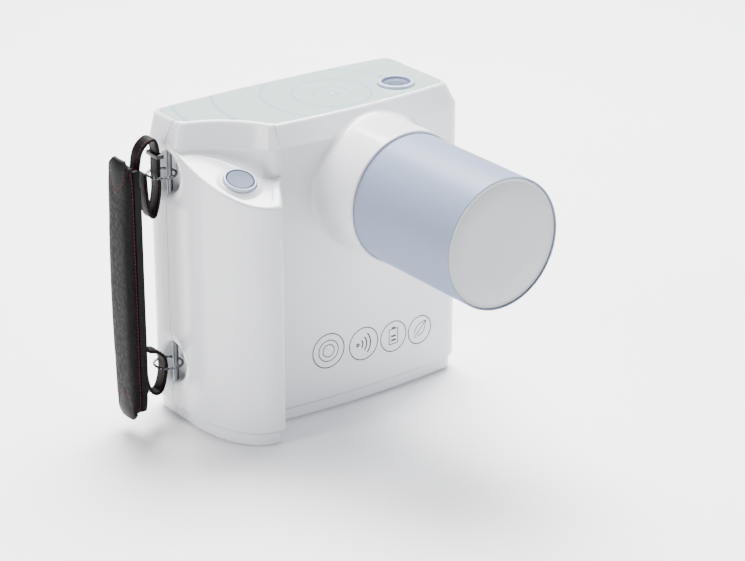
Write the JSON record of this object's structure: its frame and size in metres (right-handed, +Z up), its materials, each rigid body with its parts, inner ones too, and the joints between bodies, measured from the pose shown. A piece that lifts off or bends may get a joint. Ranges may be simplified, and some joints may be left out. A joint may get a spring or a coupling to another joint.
{
  "type": "handheld intraoral x-ray unit",
  "caption": "Handheld dental x-ray unit: white housing with grip and trigger button, round beam cone at the front, rear keypad and display, and a side hand strap.",
  "frame": {"origin": "centre of the whole part's box, at the bottom of the rubber feet", "axes": "+Z up, beam leaves the cone along -Y, +X to the right seen from the front, so the grip and strap are at -X"},
  "size_m": [0.1826, 0.166, 0.1605],
  "materials": {
    "white_plastic": "glossy white moulded housing plastic",
    "top_panel_film": "pale grey-green printed panel",
    "cone_plastic": "blue-grey moulded cone plastic",
    "end_cap_plastic": "light grey satin end cap",
    "key_plastic": "blue-grey satin button plastic",
    "bezel_plastic": "pale grey-blue button ring",
    "lamp_lens": "cyan lamp lens",
    "black_leather": "black grained leather",
    "black_plastic": "black moulded plastic",
    "plated_steel": "bright plated steel",
    "lead_sheet": "dull lead sheet",
    "cast_aluminium": "satin aluminium",
    "copper": "bare copper",
    "tube_glass": "clear borosilicate glass",
    "circuit_board": "green circuit board",
    "potting_resin": "dark potting resin",
    "cell_wrap": "blue cell sleeve",
    "foot_rubber": "grey rubber"
  },
  "bodies": {
    "housing": {"front_shell": "white_plastic", "rear_shell": "white_plastic", "top_panel": "top_panel_film", "status_lamp": "lamp_lens", "power_bezel": "bezel_plastic", "power_switch": "black_plastic", "exposure_bezel": "bezel_plastic", "exposure_switch": "black_plastic", "rear_panel": "top_panel_film", "display_window": "black_plastic", "key_board": "circuit_board", "display_module": "black_plastic", "charging_socket": "black_plastic", "cone_tube": "cone_plastic", "cone_end_cap": "end_cap_plastic", "cone_lead_liner": "lead_sheet", "aperture_plate": "lead_sheet", "aluminium_filter": "cast_aluminium", "tube_head_tank": "cast_aluminium", "tube_head_lid": "cast_aluminium", "lead_jacket": "lead_sheet", "tube_glass": "tube_glass", "tube_anode": "copper", "tube_cathode": "plated_steel", "battery_cell_1": "cell_wrap", "battery_cell_2": "cell_wrap", "battery_cell_3": "cell_wrap", "battery_tray": "black_plastic", "battery_contact_plate": "plated_steel", "high_voltage_block": "potting_resin", "transformer_core": "potting_resin", "transformer_coil": "copper", "main_board": "circuit_board", "processor": "black_plastic", "capacitor": "potting_resin", "buzzer": "black_plastic", "foot_front_left": "foot_rubber", "foot_front_right": "foot_rubber", "foot_rear_left": "foot_rubber", "foot_rear_right": "foot_rubber", "screw_lower_left": "plated_steel", "screw_lower_right": "plated_steel", "screw_upper_left": "plated_steel", "screw_upper_right": "plated_steel", "strap_post_upper": "plated_steel", "strap_post_lower": "plated_steel"},
    "exposure_button_cap": {"exposure_button": "key_plastic"},
    "power_button_cap": {"power_button": "key_plastic"},
    "key_left_cap": {"key_left": "key_plastic"},
    "key_right_cap": {"key_right": "key_plastic"},
    "key_up_cap": {"key_up": "key_plastic"},
    "key_down_cap": {"key_down": "key_plastic"},
    "key_select_cap": {"key_select": "key_plastic"},
    "hand_strap": {"strap_ring_upper": "plated_steel", "strap_ring_lower": "plated_steel", "hand_pad": "black_leather", "pad_backing": "black_leather", "upper_strap": "black_leather", "lower_strap": "black_leather", "strap_slider": "black_plastic"}
  },
  "joints": [
    {"name": "exposure_press", "type": "slide", "parent": "housing", "child": "exposure_button_cap", "axis": [0, 0.3552, -0.9348], "range_m": [0, 0.0015], "stiffness_N_per_m": 800},
    {"name": "power_press", "type": "slide", "parent": "housing", "child": "power_button_cap", "axis": [0, 0, -1], "range_m": [0, 0.0008], "stiffness_N_per_m": 1500},
    {"name": "key_left_press", "type": "slide", "parent": "housing", "child": "key_left_cap", "axis": [0, -1, 0], "range_m": [0, 0.0006], "stiffness_N_per_m": 1500},
    {"name": "key_right_press", "type": "slide", "parent": "housing", "child": "key_right_cap", "axis": [0, -1, 0], "range_m": [0, 0.0006], "stiffness_N_per_m": 1500},
    {"name": "key_up_press", "type": "slide", "parent": "housing", "child": "key_up_cap", "axis": [0, -1, 0], "range_m": [0, 0.0006], "stiffness_N_per_m": 1500},
    {"name": "key_down_press", "type": "slide", "parent": "housing", "child": "key_down_cap", "axis": [0, -1, 0], "range_m": [0, 0.0006], "stiffness_N_per_m": 1500},
    {"name": "key_select_press", "type": "slide", "parent": "housing", "child": "key_select_cap", "axis": [0, -1, 0], "range_m": [0, 0.0006], "stiffness_N_per_m": 1500},
    {"name": "strap_swing", "type": "hinge", "parent": "housing", "child": "hand_strap", "pos_m": [-0.05875, 0.06201, 0.133], "axis": [0, 0, 1], "range_deg": [-24, 24]}
  ]
}
